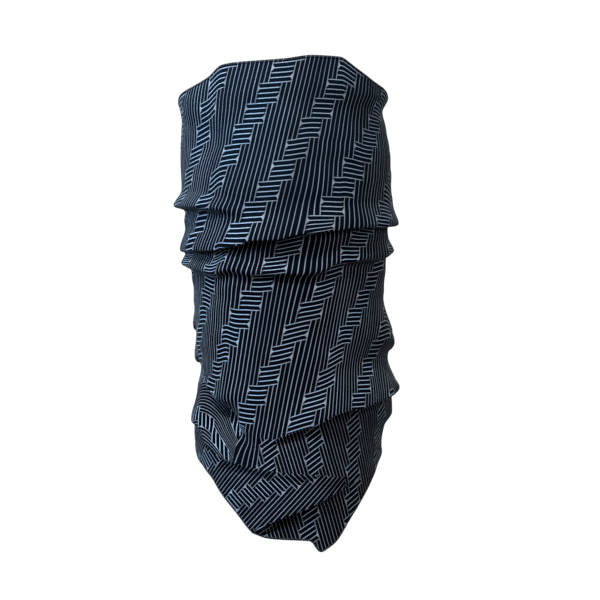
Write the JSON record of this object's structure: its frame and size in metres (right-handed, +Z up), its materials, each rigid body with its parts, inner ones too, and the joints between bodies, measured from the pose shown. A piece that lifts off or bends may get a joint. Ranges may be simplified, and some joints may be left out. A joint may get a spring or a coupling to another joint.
{
  "type": "neck gaiter",
  "caption": "Seamless tube of printed stretch knit worn round the neck and pulled up over mouth, nose and ears against wind and cold, with a bib on the chest.",
  "frame": {"origin": "on the axis of the wearer's neck, a little above the collarbones, where the tube is narrowest", "axes": "+Z up along the wearer's neck, -Y the way the wearer looks, +X to the wearer's left"},
  "size_m": [0.1899, 0.1989, 0.4247],
  "materials": {
    "printed_knit": "thin matt polyester microfibre knit, near-black navy ground with a fine pale steel-blue line print on the outside",
    "overlock_thread": "dark navy spun thread, overlocked over the raw edge",
    "label_satin": "white woven satin tape, blank",
    "label_thread": "dark navy sewing thread"
  },
  "bodies": {
    "root": {"lower_drape": "printed_knit", "neck_gathers": "printed_knit", "bottom_overlock": "overlock_thread", "care_label": "label_satin", "label_stitching": "label_thread"},
    "face": {"face_section": "printed_knit", "top_overlock": "overlock_thread"}
  },
  "joints": [
    {"name": "face_pull_down", "type": "slide", "parent": "root", "child": "face", "axis": [0, 0, -1], "range_m": [0, 0.08], "deforming": ["neck_gathers"]}
  ]
}
